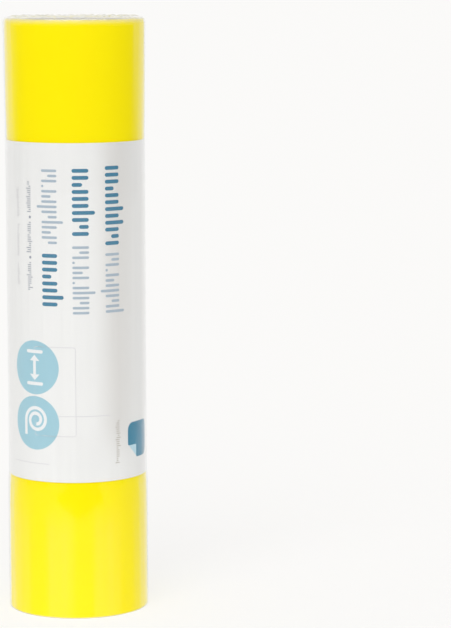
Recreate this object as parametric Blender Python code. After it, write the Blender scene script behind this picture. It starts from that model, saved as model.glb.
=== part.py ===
"""A roll of sign vinyl standing on its end, in metres with +Z up.

The origin is the middle of the bottom end, and the roll's axis is Z. The web is vinyl film on a
release liner, wound film side out on a paperboard core. Its free end, the overlap of the label
band and the seam of the shrink film are all on the far side, around +Y. The front is -Y.
"""

import math

import bmesh
import bpy

MM = 0.001

# Heights. The web and the core are equally long, and the shrink film closes round both ends. The
# web's weight presses the film flat at the bottom, so most of the film's spare length is at the top.
WEB_WIDTH = 228.6 * MM
BOTTOM_ALLOWANCE = 0.5 * MM
TOP_ALLOWANCE = 1.5 * MM
WEB_BOTTOM = BOTTOM_ALLOWANCE
WEB_TOP = WEB_BOTTOM + WEB_WIDTH
TOTAL_HEIGHT = WEB_TOP + TOP_ALLOWANCE

# Core.
CORE_BORE_R = 19.05 * MM
CORE_WALL = 1.8 * MM
CORE_OUTER_R = CORE_BORE_R + CORE_WALL

# Thin layers are drawn thicker than they are, with a clear gap between neighbours.
WINDING_GAP = 0.25 * MM
LAYER_GAP = 0.15 * MM
TAPE_THICKNESS = 0.1 * MM
LABEL_THICKNESS = 0.15 * MM
FILM_THICKNESS = 0.2 * MM

# Winding. A few coarse turns stand for about twenty real ones.
TURNS = 3
WEB_START_R = 21.4 * MM
ROLL_R = 25.8 * MM
TURN_PITCH = (ROLL_R - WEB_START_R + WINDING_GAP) / (TURNS + 1)
PLY_THICKNESS = TURN_PITCH / 2 - WINDING_GAP
FREE_END_ANGLE = 60.0

# Tapes.
CORE_TAPE_HALF_ANGLE = 15.0
CORE_TAPE_MARGIN = 6.0 * MM
TAIL_TAPE_WIDTH = 19.0 * MM
TAIL_TAPE_BEFORE = 30.0
TAIL_TAPE_AFTER = 40.0
TAIL_TAPE_DROP = (5.0, 25.0)
SEAM_TAPE_WIDTH = 19.0 * MM
SEAM_TAPE_BEFORE = 10.0
SEAM_TAPE_AFTER = 15.0

# Label band, a sheet of paper wrapped once round the roll with its ends overlapped.
LABEL_BOTTOM = 53.3 * MM
LABEL_TOP = 183.5 * MM
LABEL_INNER_R = 26.4 * MM
LABEL_START_ANGLE = 80.0
LABEL_OVERLAP = 20.0
LABEL_RISE = 30.0
OVERLAP_INNER_R = LABEL_INNER_R + LABEL_THICKNESS + LAYER_GAP
OVERLAP_OUTER_R = OVERLAP_INNER_R + LABEL_THICKNESS

# Shrink film. It is tight on the label and stands a little off the roll at both ends.
FILM_R = 27.4 * MM
WAIST_DEPTH = 0.4 * MM
WAIST_RUN = 7.0 * MM
FILM_CORNER_R = 1.5 * MM
FILM_HOLE_R = 21.5 * MM
CORNER_STEPS = 3
FILM_OVER_SEAM = (95.0, 25.0, 15.0)  # middle, flat half width and run out, in degrees
FILM_SEAM_ANGLE = 150.0
FILM_SEAM_HEIGHT = 0.15 * MM

SIDES = 72
STEP_ANGLE = 360.0 / SIDES
SMOOTH_ANGLE = math.radians(30)


def clear_scene():
    for obj in list(bpy.data.objects):
        bpy.data.objects.remove(obj, do_unlink=True)


def ease(share):
    """0 to 1 with a soft start and end."""
    share = min(max(share, 0.0), 1.0)
    return share * share * (3 - 2 * share)


def make_material(name, colour, roughness, alpha=1.0):
    material = bpy.data.materials.new(name)
    material.use_nodes = True
    shader = material.node_tree.nodes["Principled BSDF"]
    shader.inputs["Base Color"].default_value = (*colour, 1.0)
    shader.inputs["Roughness"].default_value = roughness
    shader.inputs["Metallic"].default_value = 0.0
    shader.inputs["Alpha"].default_value = alpha
    return material


def add_object(name, bm, material):
    bmesh.ops.recalc_face_normals(bm, faces=bm.faces)
    mesh = bpy.data.meshes.new(name)
    bm.to_mesh(mesh)
    bm.free()
    mesh.materials.append(material)
    mesh.shade_smooth()
    mesh.set_sharp_from_angle(angle=SMOOTH_ANGLE)
    obj = bpy.data.objects.new(name, mesh)
    bpy.context.scene.collection.objects.link(obj)
    return obj


def polar(angle, radius, height):
    turn = math.radians(angle)
    return (radius * math.cos(turn), radius * math.sin(turn), height)


def turned(name, outline_at, material):
    """A ring whose closed (radius, height) outline may vary with the angle."""
    bm = bmesh.new()
    rings = []
    for i in range(SIDES):
        angle = i * STEP_ANGLE
        rings.append([bm.verts.new(polar(angle, r, z)) for r, z in outline_at(angle)])
    for ring, following in zip(rings, rings[1:] + rings[:1]):
        for j in range(len(ring)):
            k = (j + 1) % len(ring)
            bm.faces.new((ring[j], ring[k], following[k], following[j]))
    return add_object(name, bm, material)


def rolled_sheet(name, start, end, radius_at, bottom, top, thickness, material):
    """A sheet bent round the axis from one angle to another, with the given inner radius."""
    bm = bmesh.new()
    steps = round((end - start) / STEP_ANGLE)
    angles = [start + i * STEP_ANGLE for i in range(steps + 1)]
    lines = []
    for height in (bottom, top):
        lines.append([bm.verts.new(polar(a, radius_at(a), height)) for a in angles])
    low, high = lines
    for i in range(steps):
        bm.faces.new((low[i], low[i + 1], high[i + 1], high[i]))
    mesh = bpy.data.meshes.new(name)
    bm.to_mesh(mesh)
    bm.free()
    mesh.materials.append(material)
    mesh.shade_smooth()
    obj = bpy.data.objects.new(name, mesh)
    bpy.context.scene.collection.objects.link(obj)
    solid = obj.modifiers.new("thickness", "SOLIDIFY")
    solid.thickness = thickness
    solid.offset = 1.0
    solid.use_even_offset = True
    return obj


def make_core():
    card = make_material("core_card", (0.76, 0.74, 0.69), 0.9)
    outline = [
        (CORE_OUTER_R, WEB_TOP),
        (CORE_OUTER_R, WEB_BOTTOM),
        (CORE_BORE_R, WEB_BOTTOM),
        (CORE_BORE_R, WEB_TOP),
    ]
    turned("core_tube", lambda angle: outline, card)


def make_core_tape():
    """The starter strip between the core and the inner end of the web."""
    tape = make_material("masking_tape", (0.85, 0.78, 0.6), 0.7)
    radius = CORE_OUTER_R + LAYER_GAP
    rolled_sheet(
        "core_tape",
        FREE_END_ANGLE - CORE_TAPE_HALF_ANGLE,
        FREE_END_ANGLE + CORE_TAPE_HALF_ANGLE,
        lambda angle: radius,
        WEB_BOTTOM + CORE_TAPE_MARGIN,
        WEB_TOP - CORE_TAPE_MARGIN,
        TAPE_THICKNESS,
        tape,
    )


def winding_radius(angle):
    """The inner radius of the liner, angle degrees along the spiral from its start."""
    return WEB_START_R + TURN_PITCH * (angle - FREE_END_ANGLE) / 360


def make_web():
    """The liner inside and the vinyl outside, wound together."""
    plies = (
        ("release_liner", 0.0, make_material("liner_paper", (0.93, 0.93, 0.9), 0.5)),
        (
            "vinyl_film",
            PLY_THICKNESS + WINDING_GAP,
            make_material("matte_yellow_vinyl", (1.0, 0.82, 0.0), 0.55),
        ),
    )
    for name, lift, material in plies:
        rolled_sheet(
            name,
            FREE_END_ANGLE,
            FREE_END_ANGLE + 360 * TURNS,
            lambda angle, lift=lift: winding_radius(angle) + lift,
            WEB_BOTTOM,
            WEB_TOP,
            PLY_THICKNESS,
            material,
        )


def make_tail_tape():
    """The tab that holds the free end of the web down on the turn below it."""
    tape = make_material("tail_tape_clear", (0.92, 0.93, 0.9), 0.25, 0.5)
    middle = (WEB_BOTTOM + WEB_TOP) / 2
    drop_start, drop_end = TAIL_TAPE_DROP

    def radius_at(angle):
        past = angle - FREE_END_ANGLE
        on_end = ROLL_R + TURN_PITCH * min(past, 0.0) / 360
        below = ROLL_R - TURN_PITCH + TURN_PITCH * max(past, 0.0) / 360
        drop = ease((past - drop_start) / (drop_end - drop_start))
        return on_end + (below - on_end) * drop + LAYER_GAP

    rolled_sheet(
        "tail_tape",
        FREE_END_ANGLE - TAIL_TAPE_BEFORE,
        FREE_END_ANGLE + TAIL_TAPE_AFTER,
        radius_at,
        middle - TAIL_TAPE_WIDTH / 2,
        middle + TAIL_TAPE_WIDTH / 2,
        TAPE_THICKNESS,
        tape,
    )


def make_label():
    """The paper band and the tape on its overlapped seam."""
    paper = make_material("label_paper", (0.94, 0.95, 0.95), 0.5)
    end = LABEL_START_ANGLE + 360 + LABEL_OVERLAP
    overlap_start = LABEL_START_ANGLE + 360

    def band_radius(angle):
        rise = ease((angle - overlap_start + STEP_ANGLE) / LABEL_RISE + 1)
        return LABEL_INNER_R + (OVERLAP_INNER_R - LABEL_INNER_R) * rise

    band = rolled_sheet(
        "label_band",
        LABEL_START_ANGLE,
        end,
        band_radius,
        LABEL_BOTTOM,
        LABEL_TOP,
        LABEL_THICKNESS,
        paper,
    )

    edge = end - 360
    middle = (LABEL_BOTTOM + LABEL_TOP) / 2
    on_overlap = OVERLAP_OUTER_R + LAYER_GAP
    on_band = LABEL_INNER_R + LABEL_THICKNESS + LAYER_GAP

    def tape_radius(angle):
        drop = ease((angle - edge) / STEP_ANGLE - 1)
        return on_overlap + (on_band - on_overlap) * drop

    tape = rolled_sheet(
        "label_seam_tape",
        edge - SEAM_TAPE_BEFORE,
        edge + SEAM_TAPE_AFTER,
        tape_radius,
        middle - SEAM_TAPE_WIDTH / 2,
        middle + SEAM_TAPE_WIDTH / 2,
        TAPE_THICKNESS,
        make_material("label_tape_clear", (0.92, 0.93, 0.9), 0.25, 0.5),
    )
    return band, tape


def film_radius(angle, height):
    """The outer radius of the shrink film's side."""
    below = ease((LABEL_BOTTOM - height) / WAIST_RUN)
    above = ease((height - LABEL_TOP) / WAIST_RUN)
    middle, flat, run = FILM_OVER_SEAM
    off_seam = ease((abs(angle - middle) - flat) / run)
    return FILM_R - WAIST_DEPTH * (1 - below - above) * off_seam


def corner(z_end, direction):
    """Points of a rounded end of the film, from its side to its flat end, one film wall deep."""
    outer = []
    inner = []
    centre_r = FILM_R - FILM_CORNER_R
    centre_z = z_end - direction * FILM_CORNER_R
    for i in range(CORNER_STEPS + 1):
        turn = math.radians(90 * i / CORNER_STEPS)
        for points, radius in ((outer, FILM_CORNER_R), (inner, FILM_CORNER_R - FILM_THICKNESS)):
            r = centre_r + radius * math.cos(turn)
            points.append((r, centre_z + direction * radius * math.sin(turn)))
    return outer, inner


def film_outline(angle):
    """The film's closed outline: down its outer face and back up its inner one."""
    ridge = FILM_SEAM_HEIGHT if abs(angle - FILM_SEAM_ANGLE) < STEP_ANGLE / 2 else 0.0
    top_outer, top_inner = corner(TOTAL_HEIGHT, 1)
    low_outer, low_inner = corner(0.0, -1)
    heights = []
    for edge, out in ((LABEL_TOP, 1), (LABEL_BOTTOM, -1)):
        turn_points = [edge + out * WAIST_RUN * share for share in (1.0, 0.5, 0.0)]
        heights.extend(turn_points if out > 0 else turn_points[::-1])
    outer = [(FILM_HOLE_R, TOTAL_HEIGHT), *top_outer[::-1]]
    outer += [(film_radius(angle, z) + ridge, z) for z in heights]
    outer += [*low_outer, (FILM_HOLE_R, 0.0)]
    inner = [(FILM_HOLE_R, FILM_THICKNESS), *low_inner[::-1]]
    inner += [(film_radius(angle, z) - FILM_THICKNESS, z) for z in heights[::-1]]
    inner += [*top_inner, (FILM_HOLE_R, TOTAL_HEIGHT - FILM_THICKNESS)]
    return outer + inner


def make_shrink_film():
    clear = make_material("clear_film", (0.95, 0.96, 0.96), 0.08, 0.3)
    return turned("shrink_film", film_outline, clear)


def make_wrap():
    """The band and the film turn together round the roll's axis."""
    axis = bpy.data.objects.new("wrap_axis", None)
    bpy.context.scene.collection.objects.link(axis)
    for piece in (*make_label(), make_shrink_film()):
        piece.parent = axis


clear_scene()
make_core()
make_core_tape()
make_web()
make_tail_tape()
make_wrap()
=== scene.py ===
"""The looks of a roll of sign vinyl in its paper band and clear shrink film.

Lengths are in metres. Angles round the roll are in radians from +X, anticlockwise from above, so
the front of the label is at -90 degrees. A place on the label is (across, up): across is the
length round the paper from the front line, to the right, and up is the height.
"""

import math

import bmesh
import bpy
import numpy as np
from mathutils import Euler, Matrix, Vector


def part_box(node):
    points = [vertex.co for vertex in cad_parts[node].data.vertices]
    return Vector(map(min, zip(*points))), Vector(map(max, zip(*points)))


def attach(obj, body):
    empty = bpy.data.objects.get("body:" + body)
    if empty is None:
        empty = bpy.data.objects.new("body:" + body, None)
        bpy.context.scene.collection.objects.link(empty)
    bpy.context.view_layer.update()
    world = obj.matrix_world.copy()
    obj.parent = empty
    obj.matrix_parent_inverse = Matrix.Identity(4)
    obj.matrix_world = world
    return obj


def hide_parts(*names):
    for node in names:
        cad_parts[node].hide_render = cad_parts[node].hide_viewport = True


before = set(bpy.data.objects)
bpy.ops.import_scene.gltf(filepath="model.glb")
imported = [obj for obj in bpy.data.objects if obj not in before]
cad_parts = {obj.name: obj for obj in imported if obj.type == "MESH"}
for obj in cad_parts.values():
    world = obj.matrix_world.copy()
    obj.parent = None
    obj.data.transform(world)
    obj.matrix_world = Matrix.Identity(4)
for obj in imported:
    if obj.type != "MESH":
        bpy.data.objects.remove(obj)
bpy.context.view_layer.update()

MM = 0.001
FRONT = -math.pi / 2

# Heights come from the frame. The film is thinner here than in the CAD, so the web reaches nearer
# to it at both ends.
TOTAL_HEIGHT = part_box("shrink_film")[1].z
WEB_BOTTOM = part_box("vinyl_film")[0].z - 0.3 * MM
WEB_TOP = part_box("vinyl_film")[1].z + 0.45 * MM
LABEL_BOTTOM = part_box("label_band")[0].z
LABEL_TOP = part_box("label_band")[1].z
MIDDLE = (LABEL_BOTTOM + LABEL_TOP) / 2

# Core: three plies of board with helical butt seams.
CORE_BORE_R = 19.05 * MM
CORE_OUTER_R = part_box("core_tube")[1].x
CORE_PLY_WIDTH = 62 * MM
CORE_SEAM_WIDTH = 0.5 * MM
CORE_SEAM_DEPTH = 0.12 * MM
CORE_EDGE = 0.25 * MM
RIM_WOBBLE = 0.03 * MM

# Web: vinyl on a liner, wound at its true pitch.
TURNS = 20
ROLL_R = 26.58 * MM
WEB_START_R = CORE_OUTER_R + 0.15 * MM
TURN_PITCH = (ROLL_R - WEB_START_R) / (TURNS + 1)
LINER_SHARE = 0.56
VINYL_SHARE = 0.4
FREE_END = math.radians(60)
STEPS_PER_TURN = 120
TELESCOPE = 0.12 * MM
LOOSE_TURNS = 3
END_FLARE = 0.34 * MM
FLARE_RUN = 14 * MM
TUCK_SHARE = 0.7
TUCK_RUN = 2 * MM

# Label band and the tape on its seam.
PAPER = 0.1 * MM
LABEL_R = 26.7 * MM
LABEL_OUTER_R = LABEL_R + PAPER
SEAM_START = math.radians(80)
SEAM_OVERLAP = math.radians(20)
PAPER_STREAK = 0.035 * MM
# Bands of painted shade on the label: the angle from the front and the half width, in degrees.
PAINTED_SHADE_BANDS = ((36, 25), (160, 30), (-120, 22))
TAPE = 0.04 * MM
TAPE_WIDTH = 19 * MM

# Shrink film.
FILM = 0.04 * MM
FILM_TIGHT_GAP = 0.12 * MM
FILM_LOOSE_R = 27.3 * MM
FILM_TOP_CORNER_R = 2.1 * MM
FILM_LOW_CORNER_R = 0.4 * MM
FILM_HOLE_R = 21.6 * MM
FILM_SKIN = 0.06 * MM
FILM_WAVES = 0.07 * MM
FILM_WRINKLES = 0.025 * MM
TOP_FLARE = 0.12 * MM
TOP_FLARE_RUN = 25 * MM
SHORTEST_RUN = 4.5 * MM
# Folds below the label: the angle and half width in degrees, and how far down each one reaches.
FILM_FOLDS = (
    (-86, 25, 25 * MM),
    (-20, 11, 9 * MM),
    (35, 10, 11 * MM),
    (120, 13, 16 * MM),
    (200, 11, 10 * MM),
)
PLEAT_DEPTH = 0.15 * MM
PLEAT_RUN = 5 * MM
TOP_SINK = 0.7 * MM
TOP_LIFT = 0.4 * MM
CORNER_STEPS = 7
END_STEPS = 12
FILM_SIDES = 256
FILM_SEAM = math.radians(150)
FILM_SEAM_WIDTH = 4 * MM


# ---------------------------------------------------------------- numbers and shapes


def ease(share):
    """0 to 1 with a soft start and end; share may be an array."""
    share = np.clip(share, 0.0, 1.0)
    return share * share * (3 - 2 * share)


def ripple(angle, counts, seed, height=0.0, drift=0.0):
    """Waves round the roll that close on themselves, from about -1 to 1. They wander with height."""
    rng = np.random.default_rng(seed)
    total = 0.0
    weights = 0.0
    for count in counts:
        phase, lean, weight = rng.uniform(0, math.tau), rng.uniform(-1, 1), rng.uniform(0.5, 1)
        total = total + weight * np.cos(count * angle + phase + lean * drift * height)
        weights += weight
    return 1.6 * total / weights


def apart(angle, other):
    """The size of the turn between two angles."""
    return np.abs((angle - other + math.pi) % math.tau - math.pi)


def polar(angle, radius, height):
    angle, radius, height = np.broadcast_arrays(angle, radius, height)
    return np.stack([radius * np.cos(angle), radius * np.sin(angle), height], -1)


def mesh_object(name, points, faces, material, smooth_angle=35):
    mesh = bpy.data.meshes.new(name)
    mesh.from_pydata([tuple(p) for p in points], [], faces)
    mesh.update()
    return finish_object(name, mesh, material, smooth_angle)


def finish_object(name, mesh, material, smooth_angle=35):
    mesh.materials.append(material)
    mesh.shade_smooth()
    mesh.set_sharp_from_angle(angle=math.radians(smooth_angle))
    obj = bpy.data.objects.new(name, mesh)
    bpy.context.scene.collection.objects.link(obj)
    return obj


def grid_faces(rows, columns, close_rows=False, close_columns=False):
    """Quads over a grid of points stored row by row."""
    faces = []
    for i in range(rows if close_rows else rows - 1):
        k = (i + 1) % rows
        for j in range(columns if close_columns else columns - 1):
            m = (j + 1) % columns
            faces.append((i * columns + j, k * columns + j, k * columns + m, i * columns + m))
    return faces


def thicken(obj, thickness, offset, smooth_angle=35):
    """Give a sheet its thickness, with crisp edges."""
    solid = obj.modifiers.new("thickness", "SOLIDIFY")
    solid.thickness = thickness
    solid.offset = offset
    mesh = bpy.data.meshes.new_from_object(obj.evaluated_get(bpy.context.evaluated_depsgraph_get()))
    obj.modifiers.clear()
    obj.data = mesh
    mesh.shade_smooth()
    mesh.set_sharp_from_angle(angle=math.radians(smooth_angle))
    return obj


# ---------------------------------------------------------------- materials


class Shader:
    """A material's node tree, with short ways to add the nodes that it uses."""

    def __init__(self, name):
        self.material = bpy.data.materials.new(name)
        self.material.use_nodes = True
        self.tree = self.material.node_tree
        self.surface = self.tree.nodes["Principled BSDF"]
        self.output = self.tree.nodes["Material Output"]
        self.place = self.tree.nodes.new("ShaderNodeTexCoord").outputs["Object"]

    def node(self, kind, **inputs):
        node = self.tree.nodes.new(kind)
        for key, value in inputs.items():
            self.feed(node.inputs[key.replace("_", " ")], value)
        return node

    def feed(self, socket, value):
        if isinstance(value, bpy.types.NodeSocket):
            self.tree.links.new(value, socket)
        else:
            socket.default_value = value

    def math(self, operation, first, second=0.0):
        node = self.tree.nodes.new("ShaderNodeMath")
        node.operation = operation
        self.feed(node.inputs[0], first)
        self.feed(node.inputs[1], second)
        return node.outputs[0]

    def noise(self, scale, detail=3.0, rough=0.5, place=None):
        node = self.node(
            "ShaderNodeTexNoise",
            Vector=place or self.place,
            Scale=scale,
            Detail=detail,
            Roughness=rough,
        )
        return node.outputs["Fac"]

    def scaled(self, x, y, z, place=None):
        node = self.node("ShaderNodeMapping", Vector=place or self.place)
        node.inputs["Scale"].default_value = (x, y, z)
        return node.outputs["Vector"]

    def around(self, per_radian, per_metre):
        """Coordinates that run round the roll and up it, for streaks along its length."""
        turn, height = self.turn_and_height()
        across = self.math("MULTIPLY", turn, per_radian)
        up = self.math("MULTIPLY", height, per_metre)
        return self.node("ShaderNodeCombineXYZ", X=across, Y=up).outputs[0]

    def turn_and_height(self):
        """The angle from the front, to the right, and the height."""
        split = self.node("ShaderNodeSeparateXYZ", Vector=self.place)
        ahead = self.math("MULTIPLY", split.outputs["Y"], -1.0)
        return self.math("ARCTAN2", split.outputs["X"], ahead), split.outputs["Z"]

    def radius(self):
        flat = self.scaled(1, 1, 0)
        length = self.tree.nodes.new("ShaderNodeVectorMath")
        length.operation = "LENGTH"
        self.tree.links.new(flat, length.inputs[0])
        return length.outputs["Value"]

    def between(self, factor, low, high):
        """A number that follows a 0 to 1 factor."""
        node = self.node("ShaderNodeMapRange", Value=factor)
        node.inputs["To Min"].default_value = low
        node.inputs["To Max"].default_value = high
        return node.outputs["Result"]

    def window(self, value, low, high):
        """0 to 1 as value goes from low to high."""
        node = self.node("ShaderNodeMapRange", Value=value)
        node.interpolation_type = "SMOOTHSTEP"
        node.inputs["From Min"].default_value = low
        node.inputs["From Max"].default_value = high
        return node.outputs["Result"]

    def blend(self, factor, first, second):
        node = self.tree.nodes.new("ShaderNodeMix")
        node.data_type = "RGBA"
        self.feed(node.inputs["Factor"], factor)
        for key, colour in (("A", first), ("B", second)):
            socket = next(s for s in node.inputs if s.name == key and s.type == "RGBA")
            self.feed(socket, (*colour, 1.0) if isinstance(colour, tuple) else colour)
        return next(s for s in node.outputs if s.type == "RGBA")

    def bump(self, height, strength, distance, under=None):
        node = self.node("ShaderNodeBump", Height=height, Strength=strength, Distance=distance)
        if under is not None:
            self.tree.links.new(under, node.inputs["Normal"])
        return node.outputs["Normal"]

    def finish(self, colour, roughness, normal=None, **constants):
        self.feed(self.surface.inputs["Base Color"], colour)
        self.feed(self.surface.inputs["Roughness"], roughness)
        if normal is not None:
            self.feed(self.surface.inputs["Normal"], normal)
        for key, value in constants.items():
            self.surface.inputs[key.replace("_", " ")].default_value = value
        return self.material


def vinyl_material():
    """Calendered matte film: a fine even grain, and faint calender lines along the roll."""
    shader = Shader("matte_yellow_vinyl")
    patches = shader.noise(90, 4)
    lines = shader.noise(1.0, 3, 0.55, shader.around(26, 6))
    tone = shader.math("ADD", shader.math("MULTIPLY", patches, 0.5), shader.math("MULTIPLY", lines, 0.5))
    colour = shader.blend(tone, (0.98, 0.805, 0.0), (1.0, 0.865, 0.0))
    grain = shader.noise(9000, 2, 0.6)
    normal = shader.bump(grain, 0.12, 0.00004)
    roughness = shader.between(shader.noise(1400, 3), 0.5, 0.62)
    return shader.finish(colour, roughness, normal, Specular_IOR_Level=0.02)


def liner_material():
    """Silicone-coated kraft liner."""
    shader = Shader("liner_paper")
    fibres = shader.noise(1.0, 4, 0.6, shader.scaled(2600, 2600, 700))
    colour = shader.blend(fibres, (0.74, 0.73, 0.69), (0.84, 0.83, 0.79))
    roughness = shader.between(shader.noise(600, 2), 0.38, 0.5)
    return shader.finish(colour, roughness, shader.bump(fibres, 0.2, 0.00004))


def board_material():
    """Pale grey core board: fibres, flecks and, at the cut ends, the lines of its plies."""
    shader = Shader("core_board")
    fibres = shader.noise(1.0, 5, 0.65, shader.scaled(900, 900, 2600))
    flecks = shader.window(shader.noise(1500, 2), 0.62, 0.72)
    board = shader.blend(fibres, (0.46, 0.435, 0.385), (0.62, 0.595, 0.54))
    flecked = shader.blend(flecks, board, (0.36, 0.32, 0.27))
    plies = shader.math("SINE", shader.math("MULTIPLY", shader.radius(), math.tau / (0.45 * MM)))
    lined = shader.window(plies, 0.55, 0.95)
    colour = shader.blend(shader.math("MULTIPLY", lined, 0.35), flecked, (0.33, 0.29, 0.24))
    normal = shader.bump(fibres, 0.5, 0.00012)
    return shader.finish(colour, shader.between(fibres, 0.82, 0.95), normal, Specular_IOR_Level=0.25)


def masking_material():
    """Creped paper tape."""
    shader = Shader("masking_tape")
    crepe = shader.noise(1.0, 3, 0.6, shader.scaled(900, 900, 4200))
    colour = shader.blend(crepe, (0.66, 0.55, 0.34), (0.80, 0.71, 0.49))
    return shader.finish(colour, shader.between(crepe, 0.6, 0.75), shader.bump(crepe, 0.6, 0.00008))


def tape_material(name):
    """Frosted clear tape: see-through with a fine matte grain and streaks of adhesive."""
    shader = Shader(name)
    streaks = shader.noise(1.0, 3, 0.6, shader.around(40, 500))
    shade = shader.between(streaks, 0.1, 0.22)
    colour = shader.blend(streaks, (0.82, 0.82, 0.78), (0.92, 0.92, 0.89))
    normal = shader.bump(shader.noise(5000, 2), 0.15, 0.00003)
    shader.feed(shader.surface.inputs["Alpha"], shade)
    return shader.finish(colour, shader.between(streaks, 0.22, 0.34), normal)


def paper_material():
    """Smooth label stock: fibre cloud, faint streaks along the roll and a slight print gloss.

    Painted shade: soft warm-grey bands at set angles round the label, fading out towards its bottom edge.
    The one right of the front darkens the side away from the key light.
    """
    shader = Shader("label_paper")
    streaks = shader.noise(1.0, 3, 0.6, shader.around(13, 5))
    cloud = shader.noise(420, 5, 0.6)
    tone = shader.math("ADD", shader.math("MULTIPLY", streaks, 0.75), shader.math("MULTIPLY", cloud, 0.25))
    paper = shader.blend(tone, (0.775, 0.773, 0.772), (0.89, 0.888, 0.888))
    # Painted shade: grey bands at the angles listed at the top, strongest up the label and fading out near
    # its bottom edge.
    turn, height = shader.turn_and_height()
    shade_height_fade = shader.window(height, LABEL_BOTTOM + 4 * MM, LABEL_BOTTOM + 24 * MM)
    slack = 0.0
    for middle, reach in PAINTED_SHADE_BANDS:
        off = shader.math("ABSOLUTE", shader.math("SUBTRACT", turn, math.radians(middle)))
        in_shade_band = shader.math("SUBTRACT", 1.0, shader.window(off, 0.0, math.radians(reach)))
        slack = shader.math("ADD", slack, in_shade_band)
    grey = shader.math("MULTIPLY", shader.math("MULTIPLY", slack, shade_height_fade), shader.between(streaks, 0.6, 1.3))
    # Blend towards the warm grey of the painted shade.
    colour = shader.blend(grey, paper, (0.735, 0.722, 0.712))
    fibres = shader.noise(5200, 3, 0.6)
    return shader.finish(
        colour,
        shader.between(cloud, 0.5, 0.64),
        shader.bump(fibres, 0.12, 0.00004),
        Specular_IOR_Level=0.3,
    )


def ink_material(name, light, dark):
    """Printing ink on paper: a screened tint with a little mottle."""
    shader = Shader(name)
    mottle = shader.noise(1900, 3, 0.6)
    cloud = shader.noise(160, 3, 0.5)
    tone = shader.math("ADD", shader.math("MULTIPLY", mottle, 0.5), shader.math("MULTIPLY", cloud, 0.5))
    colour = shader.blend(tone, dark, light)
    normal = shader.bump(mottle, 0.1, 0.00003)
    return shader.finish(colour, shader.between(mottle, 0.42, 0.56), normal, Specular_IOR_Level=0.3)


def film_haze(shader, cloudy):
    """Haze of the film: scuff streaks near the foot, and milky gathers where it shrank in the ends."""
    turn, height = shader.turn_and_height()
    wave = shader.math("COSINE", shader.math("SUBTRACT", shader.math("MULTIPLY", turn, 9.0), 3.9))
    rough = shader.noise(1.0, 2, 0.5, shader.around(6, 4))
    mixed = shader.math("ADD", shader.math("MULTIPLY", wave, 0.22), rough)
    streaks = shader.window(mixed, 0.3, 0.8)
    foot = shader.math("SUBTRACT", 1.0, shader.window(height, LABEL_BOTTOM - 22 * MM, LABEL_BOTTOM - 6 * MM))
    scuffed = shader.math("MULTIPLY", shader.math("MULTIPLY", streaks, foot), cloudy)
    gathers = shader.between(shader.noise(1.0, 4, 0.6, shader.around(9, 500)), 0.25, 1.1)
    at_top = shader.window(height, TOTAL_HEIGHT - 2.9 * MM, TOTAL_HEIGHT - 0.4 * MM)
    at_foot = shader.math("SUBTRACT", 1.0, shader.window(height, 0.2 * MM, 0.9 * MM))
    milky = shader.math("MULTIPLY", gathers, shader.math("MULTIPLY", at_top, 0.3))
    milky = shader.math("ADD", milky, shader.math("MULTIPLY", at_foot, 0.1))
    return shader.math("ADD", scuffed, milky)


def film_material(name, facing, edge, cloudy):
    """Clear film. It mirrors little face on and almost all at a grazing angle.

    facing is how much one surface mirrors face on, edge how much more at the edge of view, and
    cloudy the share of haze from fine scuffs.
    """
    shader = Shader(name)
    layer = shader.node("ShaderNodeLayerWeight", Blend=0.5)
    graze = shader.math("POWER", layer.outputs["Facing"], 5.0)
    mirror = shader.math("ADD", shader.math("MULTIPLY", graze, edge), facing)
    scuffs = shader.noise(1.0, 3, 0.6, shader.around(60, 260))
    clear = shader.node("ShaderNodeBsdfTransparent", Color=(0.99, 0.992, 0.99, 1.0))
    gloss = shader.node("ShaderNodeBsdfGlossy", Color=(1.0, 1.0, 1.0, 1.0))
    shader.feed(gloss.inputs["Roughness"], shader.between(scuffs, 0.03, 0.1))
    orange_peel = shader.noise(1.0, 2, 0.5, shader.around(22, 160))
    shader.feed(gloss.inputs["Normal"], shader.bump(orange_peel, 0.1, 0.0002))
    haze = shader.node("ShaderNodeBsdfDiffuse", Color=(0.88, 0.88, 0.87, 1.0))
    body = shader.node("ShaderNodeMixShader")
    shader.feed(body.inputs[0], film_haze(shader, cloudy))
    shader.feed(body.inputs[1], clear.outputs[0])
    shader.feed(body.inputs[2], haze.outputs[0])
    film = shader.node("ShaderNodeMixShader")
    shader.feed(film.inputs[0], mirror)
    shader.feed(film.inputs[1], body.outputs[0])
    shader.feed(film.inputs[2], gloss.outputs[0])
    shader.tree.links.new(film.outputs[0], shader.output.inputs["Surface"])
    shader.tree.nodes.remove(shader.surface)
    return shader.material


# ---------------------------------------------------------------- core and web


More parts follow.
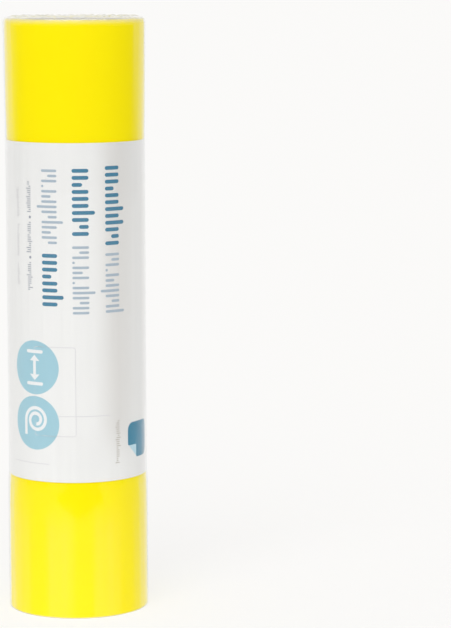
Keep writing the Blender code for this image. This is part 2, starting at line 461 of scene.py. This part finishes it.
def make_core():
    """The board tube, with helical seams inside and out and slightly crushed rims."""
    sides = 144
    angles = np.arange(sides) * math.tau / sides
    heights = np.linspace(WEB_BOTTOM + CORE_EDGE, WEB_TOP - CORE_EDGE, 150)

    def wall(radius, inward, lift):
        seam = (heights[:, None] + CORE_PLY_WIDTH * angles / math.tau + lift) % CORE_PLY_WIDTH
        off = np.minimum(seam, CORE_PLY_WIDTH - seam) / CORE_SEAM_WIDTH
        groove = CORE_SEAM_DEPTH * np.exp(-off * off)
        return [polar(angles, radius - inward * g, z) for g, z in zip(groove, heights)]

    outer = wall(CORE_OUTER_R, 1, 0.0)
    inner = wall(CORE_BORE_R, -1, CORE_PLY_WIDTH / 2)
    middle_r = (CORE_OUTER_R + CORE_BORE_R) / 2
    wobble = RIM_WOBBLE * ripple(angles, (2, 5, 9, 14), 4)
    top = [
        polar(angles, CORE_OUTER_R - CORE_EDGE, WEB_TOP + wobble),
        polar(angles, middle_r, WEB_TOP - wobble),
        polar(angles, CORE_BORE_R + CORE_EDGE, WEB_TOP + wobble),
    ]
    bottom = [ring * (1, 1, -1) + (0, 0, WEB_BOTTOM + WEB_TOP) for ring in top[::-1]]
    rows = bottom + outer + top + inner[::-1]
    faces = grid_faces(len(rows), sides, close_rows=True, close_columns=True)
    core = mesh_object("paperboard_core", np.concatenate(rows), faces, board_material(), 60)
    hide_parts("core_tube")
    return core


def web_radius(turn):
    """Inner radius of the web after so many turns."""
    return WEB_START_R + TURN_PITCH * turn


def end_flare(turn, height):
    """How far the last turns spring out beyond the band, which holds them in.

    The film's corner tucks them in again at the top.
    """
    below = ease((LABEL_BOTTOM - height) / FLARE_RUN)
    above = ease((height - LABEL_TOP) / FLARE_RUN)
    tucked = 1 - TUCK_SHARE * ease((height - WEB_TOP + TUCK_RUN) / TUCK_RUN)
    return END_FLARE * ease((turn - TURNS + LOOSE_TURNS) / LOOSE_TURNS) * (below + above) * tucked


def wound_sheet(name, lift, thickness, material):
    """One ply of the web as a spiral, its turns slightly out of line at the ends."""
    count = TURNS * STEPS_PER_TURN + 1
    turn = np.linspace(0, TURNS, count)
    angle = FREE_END + turn * math.tau
    slack = 0.012 * MM * ripple(angle, (3, 5, 8), 11) * ease(turn - TURNS + 2)
    inner = web_radius(turn) + lift + slack
    shift = TELESCOPE * ripple(turn * math.tau / TURNS, (3, 8, 17, 31, 44), 7)
    steps = np.linspace(0, 1, 6) * FLARE_RUN
    middle = [*(LABEL_BOTTOM - steps[::-1]), *(LABEL_TOP + steps)]
    heights = [WEB_BOTTOM, *middle, WEB_TOP - TUCK_RUN, WEB_TOP]
    section = [(z, 0.0) for z in heights] + [(z, thickness) for z in reversed(heights)]
    lines = []
    edges = {WEB_BOTTOM: WEB_BOTTOM + np.abs(shift), WEB_TOP: WEB_TOP + shift}
    for z, out in section:
        height = edges.get(z, z)
        lines.append(polar(angle, inner + out + end_flare(turn, z), height))
    points = np.stack(lines, 1).reshape(-1, 3)
    faces = grid_faces(count, len(section), close_columns=True)
    for start in (0, (count - 1) * len(section)):
        for j in range(len(heights) - 1):
            k = len(section) - 1 - j
            faces.append((start + j, start + j + 1, start + k - 1, start + k))
    obj = mesh_object(name, points, faces, material, 30)
    fix_normals(obj.data)
    return obj


def fix_normals(mesh):
    bm = bmesh.new()
    bm.from_mesh(mesh)
    bmesh.ops.recalc_face_normals(bm, faces=bm.faces)
    bm.to_mesh(mesh)
    bm.free()


def make_web():
    liner = wound_sheet("liner_spiral", 0.0, TURN_PITCH * LINER_SHARE, liner_material())
    vinyl = wound_sheet(
        "vinyl_spiral",
        TURN_PITCH * (LINER_SHARE + 0.01),
        TURN_PITCH * VINYL_SHARE,
        vinyl_material(),
    )
    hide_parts("release_liner")
    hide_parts("vinyl_film")
    return [liner, vinyl]


def curved_strip(name, angles, heights, radius_at, thickness, material):
    """A thin sheet bent round the roll, outwards from radius_at(angle, height)."""
    rows = [polar(a, radius_at(a, heights), heights) for a in angles]
    faces = grid_faces(len(angles), len(heights))
    obj = mesh_object(name, np.concatenate(rows), faces, material)
    return thicken(obj, thickness, 1.0)


def make_core_tape():
    """The starter strip under the first turn."""
    angles = FREE_END + np.radians(np.linspace(-16, 16, 33))
    heights = np.linspace(WEB_BOTTOM + 1 * MM, WEB_TOP - 1 * MM, 40)
    strip = curved_strip(
        "core_starter_strip",
        angles,
        heights,
        lambda a, z: np.full_like(z, CORE_OUTER_R + 0.03 * MM),
        0.08 * MM,
        masking_material(),
    )
    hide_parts("core_tape")
    return strip


def make_tail_tape():
    """The tab over the free end of the web, under the label."""
    angles = FREE_END + np.radians(np.linspace(-30, 40, 71))
    heights = np.linspace(MIDDLE - TAPE_WIDTH / 2, MIDDLE + TAPE_WIDTH / 2, 12)

    def radius_at(angle, z):
        past = (angle - FREE_END) / math.tau
        on_end = ROLL_R + TURN_PITCH * min(past, 0)
        below = ROLL_R - TURN_PITCH + TURN_PITCH * max(past, 0)
        drop = ease((past * 360 - 0.6) / 2.5)
        return np.full_like(z, on_end + (below - on_end) * drop + 0.01 * MM)

    tab = curved_strip("free_end_tab", angles, heights, radius_at, TAPE, tape_material("tab_tape"))
    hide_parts("tail_tape")
    return tab


# ---------------------------------------------------------------- label band


def paper_streaks(angle, height):
    """Slack in the paper, as shallow waves along the roll."""
    fine = ripple(angle, (17, 23, 31, 38), 21, height, 40)
    broad = ripple(angle, (5, 9, 13), 22, height, 15)
    return PAPER_STREAK * (0.45 * fine + 0.55 * broad)


def paper_radius(unrolled, height):
    """Inner radius of the paper, at an angle that runs on from its inner end to its outer one."""
    overlap_start = SEAM_START + math.tau
    rise = ease((unrolled - overlap_start) / math.radians(25) + 1.05)
    return LABEL_R + rise * (PAPER + 0.02 * MM) + paper_streaks(unrolled, height)


def make_label():
    unrolled = np.linspace(SEAM_START, SEAM_START + math.tau + SEAM_OVERLAP, 381)
    heights = np.linspace(LABEL_BOTTOM, LABEL_TOP, 45)
    band = curved_strip("paper_band", unrolled, heights, paper_radius, PAPER, paper_material())
    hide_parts("label_band")
    return band


def seam_tape_radius(angle, height):
    """Inner radius of the tape, on the overlap and then down its edge onto the band."""
    edge = SEAM_START + SEAM_OVERLAP
    drop = ease((angle - edge) / math.radians(1.5) - 0.2)
    raised = LABEL_OUTER_R + PAPER + 0.04 * MM
    lowered = LABEL_OUTER_R + 0.02 * MM
    return raised + (lowered - raised) * drop + paper_streaks(angle, height)


def make_seam_tape():
    edge = SEAM_START + SEAM_OVERLAP
    angles = edge + np.radians(np.linspace(-10, 15, 51))
    heights = np.linspace(MIDDLE - TAPE_WIDTH / 2, MIDDLE + TAPE_WIDTH / 2, 14)
    tape = curved_strip(
        "band_seam_tape", angles, heights, seam_tape_radius, TAPE, tape_material("seam_tape")
    )
    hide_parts("label_seam_tape")
    return tape


# ---------------------------------------------------------------- print
# All print is plain marks: bars in place of words, and simple pictures of a width, a roll, a cut
# sheet and a square with one corner peeled back.

INK = 0.02 * MM
INK_CELL = 0.8 * MM
INK_ROW = 4 * MM
ROUND_STEPS = 8


def disc(across, up, radius, steps=48):
    turns = [math.tau * i / steps for i in range(steps)]
    return [(across + radius * math.cos(t), up + radius * math.sin(t)) for t in turns]


def bar(start, end, width):
    """A straight bar with round ends."""
    (x0, y0), (x1, y1) = start, end
    heading = math.atan2(y1 - y0, x1 - x0)
    points = []
    for (x, y), turn in (((x1, y1), -math.pi / 2), ((x0, y0), math.pi / 2)):
        for i in range(ROUND_STEPS + 1):
            t = heading + turn + math.pi * i / ROUND_STEPS
            points.append((x + width / 2 * math.cos(t), y + width / 2 * math.sin(t)))
    return points


def rounded_box(left, bottom, right, top, radius):
    """The outline of a box with round corners, anticlockwise."""
    points = []
    corners = ((right, top, 0), (left, top, 1), (left, bottom, 2), (right, bottom, 3))
    for x, y, quarter in corners:
        cx = x - radius if x == right else x + radius
        cy = y - radius if y == top else y + radius
        for i in range(ROUND_STEPS + 1):
            t = math.pi / 2 * (quarter + i / ROUND_STEPS)
            points.append((cx + radius * math.cos(t), cy + radius * math.sin(t)))
    return points


def line_along(points, width, closed=False):
    """Quads for a thin line of even width along a path."""
    path = [Vector(p) for p in points]
    count = len(path)
    sides = []
    for i, p in enumerate(path):
        before = path[i - 1] if closed or i > 0 else p
        after = path[(i + 1) % count] if closed or i < count - 1 else p
        ahead = (after - before).normalized()
        out = Vector((ahead.y, -ahead.x)) * width / 2
        sides.append((p + out, p - out))
    quads = []
    for i in range(count if closed else count - 1):
        (a, b), (c, d) = sides[i], sides[(i + 1) % count]
        quads.append([tuple(a), tuple(c), tuple(d), tuple(b)])
    return quads


def print_ink(name, outlines, material, lift=0.0):
    """Flat outlines, cut small enough to follow the paper, laid on it as a thin layer."""
    bm = bmesh.new()
    for outline in outlines:
        bm.faces.new([bm.verts.new((across, up, 0)) for across, up in outline])
    for axis, cell in ((0, INK_CELL), (1, INK_ROW)):
        values = [v.co[axis] for v in bm.verts]
        normal = Vector((1, 0, 0)) if axis == 0 else Vector((0, 1, 0))
        for k in range(math.ceil(min(values) / cell), math.floor(max(values) / cell) + 1):
            parts = bm.verts[:] + bm.edges[:] + bm.faces[:]
            bmesh.ops.bisect_plane(bm, geom=parts, plane_co=normal * k * cell, plane_no=normal)
    places = np.array([v.co[:2] for v in bm.verts])
    angle = FRONT + places[:, 0] / LABEL_OUTER_R
    unrolled = (angle - SEAM_START) % math.tau + SEAM_START
    radius = paper_radius(unrolled, places[:, 1]) + PAPER + 0.012 * MM + lift
    for vert, point in zip(bm.verts, polar(angle, radius, places[:, 1])):
        vert.co = point
    mesh = bpy.data.meshes.new(name)
    bm.to_mesh(mesh)
    bm.free()
    obj = finish_object(name, mesh, material)
    thicken(obj, INK, 1.0)
    return obj


def word(base, start, end, height, width, pattern):
    """A row of bars that stands for a word, running down the label from start to end.

    In pattern, x is a bar of the row's height, t a taller one, g one that hangs below the base
    line, o a low dot, u a bar in the upper part and h one in the lower part.
    """
    spans = {
        "x": (0, 1),
        "t": (0, 1.38),
        "g": (-0.33, 1),
        "o": (0.0, 0.001),
        "u": (0.42, 1),
        "h": (0, 0.62),
    }
    step = (start - end - width) / (len(pattern) - 1)
    rows = []
    for i, mark in enumerate(pattern):
        low, high = spans[mark]
        up = start - width / 2 - step * i
        first = base + low * height + width / 2
        last = max(base + high * height - width / 2, first + 0.01 * MM)
        rows.append(bar((first, up), (last, up), width))
    return rows


def mm_word(base, start, end, height, width, pattern):
    return word(base * MM, start * MM, end * MM, height * MM, width * MM, pattern)


def make_words():
    bold = [
        *mm_word(11.4, 174.6, 144.5, 6.1, 1.45, "xxxhxxtxtxux"),
        *mm_word(-1.5, 173.8, 148.4, 6.4, 1.45, "xxhxxxtxux"),
        *mm_word(-13.6, 141.4, 121.4, 6.3, 1.45, "xxxhxxtx"),
    ]
    light = [
        *mm_word(11.4, 141.4, 118.6, 6.1, 1.0, "xuxoxhxgxuxt"),
        *mm_word(-1.5, 144.4, 118.4, 6.4, 0.95, "xuxoxhxoxtxuxx"),
        *mm_word(-13.6, 173.5, 145.2, 6.3, 0.95, "xuxoxhxgxutxhxu"),
    ]
    teal = ink_material("ink_teal", (0.075, 0.245, 0.375), (0.045, 0.19, 0.305))
    grey_blue = ink_material("ink_grey_blue", (0.44, 0.52, 0.60), (0.36, 0.44, 0.53))
    return [
        print_ink("print_bold_marks", bold, teal),
        print_ink("print_light_marks", light, grey_blue),
    ]


def small_row(base, start, end, height, width, seed):
    """A row of small marks for a line of fine print, its pattern drawn at random."""
    rng = np.random.default_rng(seed)
    count = round((start - end) / (width * 2.3))
    pattern = "".join(rng.choice(list("xxxhtug"), count))
    return mm_word(base, start, end, height, width, pattern)


def make_fine_print():
    dark = []
    for start, end, seed in ((168.6, 157.0, 1), (153.2, 141.6, 2), (137.8, 127.2, 3)):
        dark += small_row(-20.3, start, end, 1.75, 0.34, seed)
    for up in (155.1, 139.7):
        dark.append(disc(-19.0 * MM, up * MM, 0.55 * MM, 20))
    faint = []
    for start, end, seed in ((166, 155, 4), (152, 140, 5), (137, 129, 6)):
        faint += small_row(-26.4, start, end, 1.3, 0.26, seed)
    beside = small_row(15.7, 76.6, 60.0, 1.5, 0.34, 8)
    grey = ink_material("ink_grey", (0.38, 0.40, 0.46), (0.30, 0.32, 0.38))
    pale = ink_material("ink_pale_grey", (0.64, 0.63, 0.65), (0.56, 0.55, 0.57))
    warm = ink_material("ink_warm_grey", (0.56, 0.53, 0.49), (0.48, 0.45, 0.41))
    return [
        print_ink("print_fine_line", dark, grey),
        print_ink("print_faint_line", faint, pale),
        print_ink("print_side_line", beside, warm),
    ]


DISC_ACROSS = -17.5 * MM
DISC_R = 10.4 * MM
WIDTH_DISC_UP = 97.4 * MM
ROLL_DISC_UP = 75.9 * MM


def width_picture(across, up):
    """Two end stops and an arrow between them, as on a drawing."""
    reach, stop, head, line = 6.2 * MM, 3.2 * MM, 2.3 * MM, 1.3 * MM
    shapes = []
    for side in (-1, 1):
        end = up + side * reach
        shapes.append(bar((across - stop, end), (across + stop, end), line))
    tip = reach - line
    neck = tip - head
    shapes.append([
        (across - line / 2, up - neck),
        (across - head, up - neck),
        (across, up - tip),
        (across + head, up - neck),
        (across + line / 2, up - neck),
        (across + line / 2, up + neck),
        (across + head, up + neck),
        (across, up + tip),
        (across - head, up + neck),
        (across - line / 2, up + neck),
    ])
    return shapes


def roll_picture(across, up):
    """A roll seen from its end, with its free end drawn out below."""
    line = 1.3 * MM
    path = []
    for i in range(61):
        t = i / 60
        radius = (1.5 + 3.7 * t) * MM
        turn = math.tau * 1.75 * t - math.pi / 2
        path.append((across + 0.6 * MM + radius * math.cos(turn), up + 1.2 * MM + radius * math.sin(turn)))
    end_x, end_y = path[-1]
    path += [(end_x, end_y - step * MM) for step in (1.5, 3.0, 4.5, 6.0)]
    return line_along(path, line)


def make_discs():
    pale = ink_material("ink_pale_blue", (0.40, 0.635, 0.73), (0.31, 0.54, 0.64))
    knock_out = ink_material("ink_white", (0.86, 0.87, 0.88), (0.80, 0.81, 0.83))
    discs = [disc(DISC_ACROSS, up, DISC_R, 96) for up in (WIDTH_DISC_UP, ROLL_DISC_UP)]
    pictures = [*width_picture(DISC_ACROSS, WIDTH_DISC_UP), *roll_picture(DISC_ACROSS, ROLL_DISC_UP)]
    return [
        print_ink("print_discs", discs, pale),
        print_ink("print_disc_pictures", pictures, knock_out, lift=0.022 * MM),
    ]


def make_line_drawing():
    """Thin outlines of a cut sheet, and two lines for the surface that it is laid on."""
    line = 0.2 * MM
    sheet = rounded_box(-17.5 * MM, 71.2 * MM, -0.6 * MM, 105.6 * MM, 1.0 * MM)
    shapes = line_along(sheet, line, closed=True)
    for start, end, up in ((-7.6, 13.0, 79.0), (-29.6, -11.4, 60.2)):
        ends = [(x * MM, up * MM) for x in (start, (start + end) / 2, end)]
        shapes += line_along(ends, line)
    ink = ink_material("ink_line_grey", (0.70, 0.69, 0.72), (0.64, 0.63, 0.66))
    return print_ink("print_line_drawing", shapes, ink)


def make_peel_mark():
    """A square of vinyl with one corner peeled back."""
    across, up, half, corner, fold = 28.6 * MM, 68.0 * MM, 7.0 * MM, 3.0 * MM, 5.6 * MM
    left, right, bottom, top = across - half, across + half, up - half, up + half
    square = rounded_box(left, bottom, right, top, corner)
    cut = left + bottom + fold
    body = [p for p in square if p[0] + p[1] > cut + 0.01 * MM]
    body = body + [(left, bottom + fold), (left + fold, bottom)]
    middle = (across, up)
    body.sort(key=lambda p: math.atan2(p[1] - middle[1], p[0] - middle[0]))
    gap = 0.5 * MM
    flap = [
        (left + gap, bottom + fold - gap),
        (left + fold - gap, bottom + gap),
        (left + fold - gap, bottom + fold - gap),
    ]
    deep = ink_material("ink_deep_teal", (0.045, 0.27, 0.41), (0.02, 0.18, 0.31))
    light = ink_material("ink_light_teal", (0.55, 0.75, 0.83), (0.47, 0.68, 0.78))
    return [
        print_ink("print_peel_square", [body], deep),
        print_ink("print_peel_corner", [flap], light, lift=0.022 * MM),
    ]


# ---------------------------------------------------------------- shrink film


def under_film(angle, height):
    """Outer radius of what the film lies tight on, along the label."""
    edge = SEAM_START + SEAM_OVERLAP
    on_overlap = ease(1 + (math.radians(12) - apart(angle, edge - math.radians(10))) / math.radians(7))
    return LABEL_OUTER_R + paper_streaks(angle, height) + on_overlap * (PAPER + 0.06 * MM)


def tension_run(angle):
    """How far below the label the film takes to come loose. It stays tight longest at folds."""
    run = np.full_like(angle, SHORTEST_RUN)
    for at, half_width, reach in FILM_FOLDS:
        tent = np.clip(1 - apart(angle, math.radians(at)) / math.radians(half_width), 0, 1)
        run = run + reach * tent
    return run


def pleats(angle, seed):
    """Gathers of the shrunk ends, from 0 in the creases to 1 on the crests."""
    waves = ripple(angle, (19, 26, 33, 41, 52), seed)
    return 1 - np.clip(np.abs(waves), 0, 1)


def film_side(angle, height):
    """Radius of the film's side."""
    below = np.clip((LABEL_BOTTOM - height) / tension_run(angle), 0, 1)
    above = np.clip((height - LABEL_TOP) / (TOTAL_HEIGHT - LABEL_TOP), 0, 1)
    loose = np.sin(math.pi / 2 * below) + above
    tight_r = under_film(angle, height) + FILM_TIGHT_GAP
    slack = FILM_WAVES * ripple(angle, (4, 7, 11, 15), 31, height, 30)
    slack = slack + FILM_WRINKLES * ripple(angle, (22, 29, 37), 32, height, 50)
    flare = TOP_FLARE * ease((height - WEB_TOP + TOP_FLARE_RUN) / TOP_FLARE_RUN)
    side = tight_r + (FILM_LOOSE_R + flare + slack - tight_r) * loose
    for end, seed in ((0.0, 41), (TOTAL_HEIGHT, 42)):
        near = np.exp(-np.abs(height - end) / PLEAT_RUN)
        side = side - PLEAT_DEPTH * near * (1 - pleats(angle, seed))
    return side


def film_end(angle, plane, direction, seed, corner_r):
    """Rings of points from the side, round the corner and in over the end to the hole.

    direction is 1 at the bottom end and -1 at the top.
    """
    corner = corner_r * (1 + 0.15 * ripple(angle, (5, 8, 13, 21), seed + 5))
    hole = FILM_HOLE_R + 0.7 * MM * ripple(angle, (3, 5, 8), seed + 6)
    hole = hole + 0.25 * MM * ripple(angle, (14, 21, 30), seed + 7)
    crest = pleats(angle, seed)
    turn_height = plane + direction * (FILM_SKIN + corner)
    side = film_side(angle, turn_height)
    rings = [polar(angle, side, turn_height)]
    for i in range(1, CORNER_STEPS + 1):
        turn = math.pi / 2 * i / CORNER_STEPS
        radius = side - corner * (1 - math.cos(turn))
        rings.append(polar(angle, radius, turn_height - direction * corner * math.sin(turn)))
    for i in range(1, END_STEPS + 1):
        share = i / END_STEPS
        radius = side - corner + (hole - side + corner) * share
        sink = 0.0
        if direction < 0:
            sink = TOP_SINK * ease(share * 1.3) * (1 - crest)
            sink = sink - TOP_LIFT * math.sin(math.pi * share) * crest
        rings.append(polar(angle, radius, plane + direction * (FILM_SKIN + sink)))
    return rings


def film_rows():
    """Rings of points from the bottom hole, up the side, to the top hole."""
    angle = np.arange(FILM_SIDES) * math.tau / FILM_SIDES
    low_rings = film_end(angle, 0.0, 1, 41, FILM_LOW_CORNER_R)
    high_rings = film_end(angle, TOTAL_HEIGHT, -1, 42, FILM_TOP_CORNER_R)
    # Each stretch of the side: its ends in millimetres, and how many rings it has.
    stretches = (
        (2.6, 12, 11),
        (12, 34, 14),
        (34, 56, 26),
        (56, 181, 28),
        (181, 200, 22),
        (200, 219, 12),
        (219, 227.9, 11),
    )
    heights = [z for low, high, count in stretches for z in np.linspace(low, high, count, endpoint=False)]
    side_rings = [polar(angle, film_side(angle, z * MM), z * MM) for z in heights]
    return low_rings[::-1] + side_rings + high_rings


def make_film():
    rows = film_rows()
    faces = grid_faces(len(rows), FILM_SIDES, close_columns=True)
    clear = film_material("clear_film", facing=0.011, edge=0.97, cloudy=0.02)
    film = mesh_object("clear_shrink_film", np.concatenate(rows), faces, clear, 80)
    fix_normals(film.data)
    thicken(film, FILM, 0.0)
    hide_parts("shrink_film")
    return film


def make_film_seam():
    """The sealed lap of the film: a second thickness along the back."""
    half = FILM_SEAM_WIDTH / 2 / FILM_LOOSE_R
    angles = FILM_SEAM + np.linspace(-half, half, 9)
    heights = np.linspace(3.2 * MM, TOTAL_HEIGHT - 3.2 * MM, 150)

    def radius_at(angle, z):
        across = (angle - FILM_SEAM) / half
        pucker = 0.02 * MM * np.sin(z / (1.1 * MM)) * (1 - across * across)
        return film_side(np.full_like(z, angle), z) + 0.06 * MM + pucker

    seam = curved_strip(
        "film_lap_seam",
        angles,
        heights,
        radius_at,
        FILM,
        film_material("film_seam", facing=0.03, edge=0.95, cloudy=0.1),
    )
    return seam


# ---------------------------------------------------------------- stage


def add_camera():
    camera = bpy.data.objects.new("camera", bpy.data.cameras.new("camera"))
    camera.data.lens = 155.5
    camera.data.sensor_width = 36
    camera.data.clip_start = 0.01
    camera.location = (0, -1.05, 0.255)
    pitch, yaw, roll = math.radians(7.61), math.radians(3.18), math.radians(0.09)
    camera.rotation_euler = Euler((math.pi / 2 - pitch, roll, -yaw))
    bpy.context.scene.collection.objects.link(camera)
    bpy.context.scene.camera = camera


def add_floor():
    mesh = bpy.data.meshes.new("floor")
    half = 30
    corners = [(-half, -half, 0), (half, -half, 0), (half, half, 0), (-half, half, 0)]
    mesh.from_pydata(corners, [], [(0, 1, 2, 3)])
    shader = Shader("floor")
    shader.surface.inputs["Base Color"].default_value = (0.25, 0.249, 0.247, 1)
    shader.surface.inputs["Roughness"].default_value = 0.9
    shader.surface.inputs["Specular IOR Level"].default_value = 0.0
    shader.surface.inputs["Emission Color"].default_value = (1.0, 0.995, 0.985, 1)
    shader.surface.inputs["Emission Strength"].default_value = 0.715
    mesh.materials.append(shader.material)
    floor = bpy.data.objects.new("floor", mesh)
    bpy.context.scene.collection.objects.link(floor)


def add_flag(name, corners, solid_to, gone_at):
    """A dark sheet lying on the floor, which only mirrors see. It keeps the film clear in front.

    It thins to nothing between two angles from the front, in degrees.
    """
    mesh = bpy.data.meshes.new(name)
    mesh.from_pydata([(x, y, 0.0005) for x, y in corners], [], [tuple(range(len(corners)))])
    shader = Shader(name)
    turn = shader.math("ABSOLUTE", shader.turn_and_height()[0])
    gone = shader.window(turn, math.radians(solid_to), math.radians(gone_at))
    shader.feed(shader.surface.inputs["Alpha"], shader.between(gone, FLAG_COVER, 0.0))
    shader.finish((0.01, 0.01, 0.01, 1.0), 0.9, Specular_IOR_Level=0.0)
    mesh.materials.append(shader.material)
    flag = bpy.data.objects.new(name, mesh)
    flag.visible_camera = False
    flag.visible_diffuse = False
    flag.visible_shadow = False
    flag.visible_transmission = False
    bpy.context.scene.collection.objects.link(flag)


def sector(radius, low, high, steps=24):
    """Points along an arc, its angles measured from the front."""
    turns = [FRONT + math.radians(low + (high - low) * i / steps) for i in range(steps + 1)]
    return [(radius * math.cos(t), radius * math.sin(t)) for t in turns]


FLAG_POINT_R = 0.238
FLAG_SWEEP = 0.085
FLAG_COVER = 0.84
FLOOR_REACH = 28


def add_flags():
    """The near flag comes to a point towards the roll, and the far one runs to the horizon."""
    point = []
    for degrees in range(-38, 39, 4):
        turn = FRONT + math.radians(degrees)
        radius = FLAG_POINT_R + FLAG_SWEEP * abs(degrees) / 38
        point.append((radius * math.cos(turn), radius * math.sin(turn)))
    add_flag("near_flag", point + sector(0.43, 38, -38), 30, 38)
    far = sector(1.8, -130, 130, 48) + sector(FLOOR_REACH, 130, -130, 48)
    add_flag("far_flag", far, 96, 130)


def add_world():
    """Pale all round for the camera and for mirrors, and a softer level as light on the object."""
    world = bpy.data.worlds.new("studio")
    world.use_nodes = True
    bpy.context.scene.world = world
    tree = world.node_tree
    seen = tree.nodes["Background"]
    seen.inputs["Color"].default_value = (1.0, 1.0, 0.998, 1)
    seen.inputs["Strength"].default_value = 0.965
    fill = tree.nodes.new("ShaderNodeBackground")
    fill.inputs["Color"].default_value = (1.0, 0.986, 0.968, 1)
    fill.inputs["Strength"].default_value = 0.72
    path = tree.nodes.new("ShaderNodeLightPath")
    mix = tree.nodes.new("ShaderNodeMixShader")
    tree.links.new(path.outputs["Is Diffuse Ray"], mix.inputs[0])
    tree.links.new(seen.outputs[0], mix.inputs[1])
    tree.links.new(fill.outputs[0], mix.inputs[2])
    tree.links.new(mix.outputs[0], tree.nodes["World Output"].inputs["Surface"])


def add_light(name, kind, energy):
    light = bpy.data.objects.new(name, bpy.data.lights.new(name, kind))
    light.data.energy = energy
    bpy.context.scene.collection.objects.link(light)
    return light


def add_lights():
    """A large soft key from the front left, a strip overhead that only glosses the film, and a
    brighter pool of floor round the foot of the roll, which lights it from below.
    """
    key = add_light("key", "SUN", 1.2)
    key.data.angle = math.radians(40)
    key.rotation_euler = Euler((math.radians(45), 0, math.radians(-15)))
    overhead = add_light("overhead", "AREA", 18)
    overhead.data.shape = "RECTANGLE"
    overhead.data.size = 1.2
    overhead.data.size_y = 0.8
    overhead.location = (0, -0.25, 1.2)
    overhead.visible_camera = False
    overhead.visible_diffuse = False
    bounce = add_light("bounce", "AREA", 0.034)
    bounce.data.shape = "DISK"
    bounce.data.size = 0.26
    bounce.location = (0.01, -0.01, 0.0004)
    bounce.rotation_euler = (math.pi, 0, 0)
    bounce.visible_camera = False
    bounce.visible_glossy = False


def set_view():
    scene = bpy.context.scene
    scene.view_settings.view_transform = "Standard"
    scene.cycles.transparent_max_bounces = 24


add_camera()
add_floor()
add_flags()
add_world()
add_lights()
set_view()

for piece in (make_core(), make_core_tape(), *make_web(), make_tail_tape()):
    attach(piece, "roll")

wrap = [make_label(), make_seam_tape(), *make_words(), *make_fine_print(), *make_discs()]
wrap += [make_line_drawing(), *make_peel_mark(), make_film(), make_film_seam()]
for piece in wrap:
    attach(piece, "wrap")
